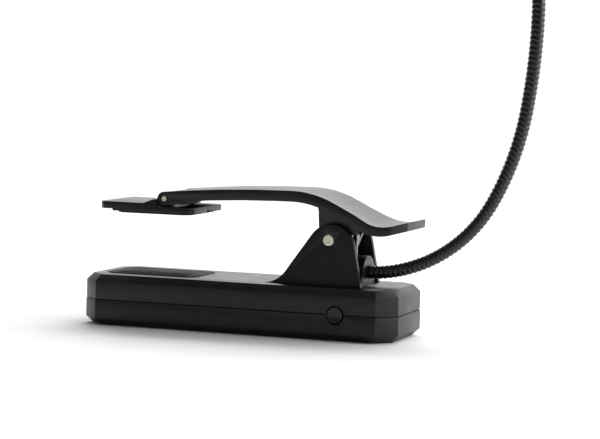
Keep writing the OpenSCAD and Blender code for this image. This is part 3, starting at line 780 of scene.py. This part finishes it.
def middles(node):
    """The middle and the lowest corner of each separate solid of a node."""
    form = bmesh.new()
    form.from_mesh(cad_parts[node].data)
    bmesh.ops.remove_doubles(form, verts=form.verts, dist=weld)
    found = []
    seen = set()
    for start in form.verts:
        if start in seen:
            continue
        group = []
        queue = [start]
        seen.add(start)
        while queue:
            spot = queue.pop()
            group.append(spot.co.copy())
            for edge in spot.link_edges:
                other = edge.other_vert(spot)
                if other not in seen:
                    seen.add(other)
                    queue.append(other)
        low = Vector(min(p[i] for p in group) for i in range(3))
        high = Vector(max(p[i] for p in group) for i in range(3))
        found.append(((low + high) / 2, low))
    form.free()
    return found


# Sizes in mm. The wide turn comes first, a little way in from the spring's low end.
cone_turns = 3
cone_steps = 24 * cone_turns
cone_wide = 4.6
cone_narrow = 2.6
cone_start = 0.4
cone_length = 3.0
cone_wire = 0.35
for k, (middle, low) in enumerate(middles("cell_springs")):
    cone = []
    for step in range(cone_steps + 1):
        share = step / cone_steps
        angle = 2 * math.pi * cone_turns * share
        reach = cone_wide + (cone_narrow - cone_wide) * share
        along = low[0] + (cone_start + cone_length * share) * MM
        across = middle[1] + reach * math.cos(angle) * MM
        upward = middle[2] + reach * math.sin(angle) * MM
        cone.append((along, across, upward))
    contact = as_mesh(
        route("contact_spring_%d" % (k + 1), cone),
        wires,
        {"Wire Radius": cone_wire * MM, "Spacing": 0.6 * MM, "Sides": 8, "Finish": spring_wire},
    )
    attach(contact, "base")
    if k == 0:
        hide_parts("cell_springs")

# ---- Clip lever ----
# The strap, thumb tab, webs and hub are one stiff ABS moulding with the case's grain. Its long edges have
# a broader easing than the case, which catches a thin line of light.
fit(eased("clip_lever", "clip_lever_moulding", 0.35), case_abs, "lever", "case_abs", "clip_lever")

# ---- Pressure pad ----
# An ABS plate that turns on the pad pin between two lugs, moulded in one with a ridge in front of the
# knuckle and a notch in its end. Its front is thicker and stands just clear of the board, and the rubber
# sole is glued behind that.
fit(eased("pad_plate", "pad_plate_moulding", 0.3), case_abs, "pressure_pad", "case_abs", "pad_plate")

# ---- Neck ----
# A steel wire wound close round a second, three-sided wire, which holds any bend by friction, coated
# satin black. Its turns show as fine slanting ribs, and it bends smoothly from one link to the next.

# The coat is satin: each turn catches a short bright line and the gaps between them stay black.
neck_coat = grained(
    "satin_black_coated_wire",
    "121213",
    "1d1d1f",
    0.35,
    0.006,
    (0.26, 0.36),
    {"IOR": 1.5, "Specular IOR Level": 0.5},
    4.0,
)
# The middle line is a chain of arcs, each a length in mm and a turn in degrees. Other sizes are in mm.
neck_bends = ((24.5, 22.5), (45, 39.5), (42, 18.5), (42, 8.5), (44, 16), (46, 42), (46, 41))
rib_pitch = 2.25
neck_radius = 3.05
rib_wire = 1.12
core_radius = 2.74
root_inset = 0.15
neck_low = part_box("neck_root")[0]
neck_exit = Vector((neck_low[0] - root_inset * MM, 0, neck_low[2] + neck_radius * MM))


def neck_point(length):
    """The neck's middle line at a length in mm from the boss, as a point in metres."""
    spot, heading, left = Vector((0, 0, 0)), 0.0, length
    for stretch, turn in neck_bends:
        part = min(left, stretch)
        radius = stretch / math.radians(turn)
        after = heading + part / radius
        spot += radius * Vector(
            (math.sin(after) - math.sin(heading), 0, math.cos(heading) - math.cos(after))
        )
        heading, left = after, left - part
        if left <= 0:
            break
    return neck_exit + spot * MM


def winding_tree():
    """A wound neck along the incoming curve, which lies in an XZ plane: a core and a wire round it."""
    tree, given, output = new_tree(
        "wound_neck",
        {
            "Pitch": "Float",
            "Start Turn": "Float",
            "Wire Radius": "Float",
            "Wind Radius": "Float",
            "Core Radius": "Float",
            "Finish": "Material",
        },
    )
    points_per_turn = 22.0
    step = add_node(
        tree,
        "ShaderNodeMath",
        {"operation": "DIVIDE", 1: points_per_turn},
        {0: given.outputs["Pitch"]},
    )
    fine = add_node(
        tree,
        "GeometryNodeResampleCurve",
        {"mode": "LENGTH"},
        {"Curve": given.outputs["Geometry"], "Length": step.outputs[0]},
    )
    along = add_node(tree, "GeometryNodeSplineParameter")
    turns = add_node(
        tree,
        "ShaderNodeMath",
        {"operation": "DIVIDE"},
        {0: along.outputs["Length"], 1: given.outputs["Pitch"]},
    )
    total = add_node(
        tree,
        "ShaderNodeMath",
        {"operation": "ADD"},
        {0: turns.outputs[0], 1: given.outputs["Start Turn"]},
    )
    angle = add_node(
        tree, "ShaderNodeMath", {"operation": "MULTIPLY", 1: 2 * math.pi}, {0: total.outputs[0]}
    )
    across = add_node(tree, "ShaderNodeMath", {"operation": "COSINE"}, {0: angle.outputs[0]})
    sideways = add_node(tree, "ShaderNodeMath", {"operation": "SINE"}, {0: angle.outputs[0]})
    tangent = add_node(tree, "GeometryNodeInputTangent")
    flat = add_node(
        tree,
        "ShaderNodeVectorMath",
        {"operation": "CROSS_PRODUCT", 1: (0, 1, 0)},
        {0: tangent.outputs[0]},
    )
    in_plane = add_node(
        tree,
        "ShaderNodeVectorMath",
        {"operation": "SCALE"},
        {0: flat.outputs[0], "Scale": across.outputs[0]},
    )
    out_of_plane = add_node(tree, "ShaderNodeCombineXYZ", {}, {"Y": sideways.outputs[0]})
    outward = add_node(
        tree,
        "ShaderNodeVectorMath",
        {"operation": "ADD"},
        {0: in_plane.outputs[0], 1: out_of_plane.outputs[0]},
    )
    reach = add_node(
        tree,
        "ShaderNodeVectorMath",
        {"operation": "SCALE"},
        {0: outward.outputs[0], "Scale": given.outputs["Wind Radius"]},
    )
    wound = add_node(
        tree, "GeometryNodeSetPosition", {}, {"Geometry": fine.outputs[0], "Offset": reach.outputs[0]}
    )
    ring = add_node(
        tree,
        "GeometryNodeCurvePrimitiveCircle",
        {"Resolution": 10},
        {"Radius": given.outputs["Wire Radius"]},
    )
    wire = add_node(
        tree,
        "GeometryNodeCurveToMesh",
        {"Fill Caps": True},
        {"Curve": wound.outputs[0], "Profile Curve": ring.outputs[0]},
    )
    round_core = add_node(
        tree,
        "GeometryNodeCurvePrimitiveCircle",
        {"Resolution": 24},
        {"Radius": given.outputs["Core Radius"]},
    )
    core = add_node(
        tree,
        "GeometryNodeCurveToMesh",
        {"Fill Caps": True},
        {"Curve": given.outputs["Geometry"], "Profile Curve": round_core.outputs[0]},
    )
    joined = add_node(tree, "GeometryNodeJoinGeometry")
    tree.links.new(wire.outputs[0], joined.inputs[0])
    tree.links.new(core.outputs[0], joined.inputs[0])
    close_tree(tree, output, joined.outputs[0], given.outputs["Finish"])
    return tree


winding = winding_tree()


def neck_stretch(name, start, end):
    """A length of neck from start to end, in mm along it, whose ribs run on from the stretch before."""
    fewest = 8
    count = max(fewest, int(end - start))
    points = [neck_point(start + (end - start) * k / count) for k in range(count + 1)]
    return as_mesh(
        route(name, points),
        winding,
        {
            "Pitch": rib_pitch * MM,
            "Start Turn": start / rib_pitch,
            "Wire Radius": rib_wire * MM,
            "Wind Radius": (neck_radius - rib_wire) * MM,
            "Core Radius": core_radius * MM,
            "Finish": neck_coat,
        },
    )


link_nodes = ["neck_root"] + ["neck_link_%d" % (k + 1) for k in range(6)]
ends = [0.0]
for arc in neck_bends:
    ends.append(ends[-1] + arc[0])
halfway = [(low + high) / 2 for low, high in zip(ends, ends[1:])]

foot = neck_stretch("neck_winding_foot", 0.0, halfway[0])
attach(foot, "base")
for k in range(6):
    bend = neck_stretch("neck_winding_%d" % (k + 1), halfway[k], halfway[k + 1])
    tuple(neck_point(halfway[k]))
    tuple(neck_point(halfway[k + 1]))
    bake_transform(bend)
    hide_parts(link_nodes[k + 1])
tip = neck_stretch("neck_winding_tip", halfway[6], ends[7])
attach(tip, "head")
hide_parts("neck_root")

# Black oxide is a little lighter than the plastic, with a dry, soft highlight.
collar_coat = grained("black_oxide_turned_steel", "161617", "222223", 0.4, 0.006, (0.32, 0.42), {})
keep("neck_ferrule", collar_coat)
fit(eased("head_collar", "head_collar_turned", 0.3), collar_coat, "head", "collar_black", "head_collar")

# ---- Head ----
# A flat ABS cover with cooling slots in its back, closed by a bezel that frames an opal polycarbonate
# window. Behind that, ten white LEDs sit in two rows on a white aluminium board.
fit(eased("head_cover", "head_cover_shell", 0.4), case_abs, "head", "case_abs", "head_cover")
fit(eased("head_bezel", "head_bezel_frame", 0.3), case_abs, "head", "case_abs", "head_bezel")

# Light goes a little way into the opal window, so that it looks milky and its edges soft.
opal = grained(
    "opal_polycarbonate",
    "e6e5df",
    "f0efe9",
    0.7,
    0.006,
    (0.34, 0.44),
    {"IOR": 1.58, "Subsurface Weight": 0.25, "Subsurface Scale": 0.002},
)
fit(eased("head_diffuser", "head_diffuser_window", 0.25), opal, "head", "diffuser_opal", "head_diffuser")
# The board's white coat is bright and even.
board_white = grained("white_aluminium_board", "dcdcd8", "e8e8e4", 0.8, 0.006, (0.4, 0.5), {})
# The LEDs look yellow when they are off, under clear silicone with a small wet highlight.
phosphor = grained(
    "phosphor_under_silicone", "d9c067", "e8d27c", 0.3, 0.006, (0.2, 0.3), {"Coat Weight": 0.5}
)
keep("led_board", board_white)
keep("leds", phosphor)
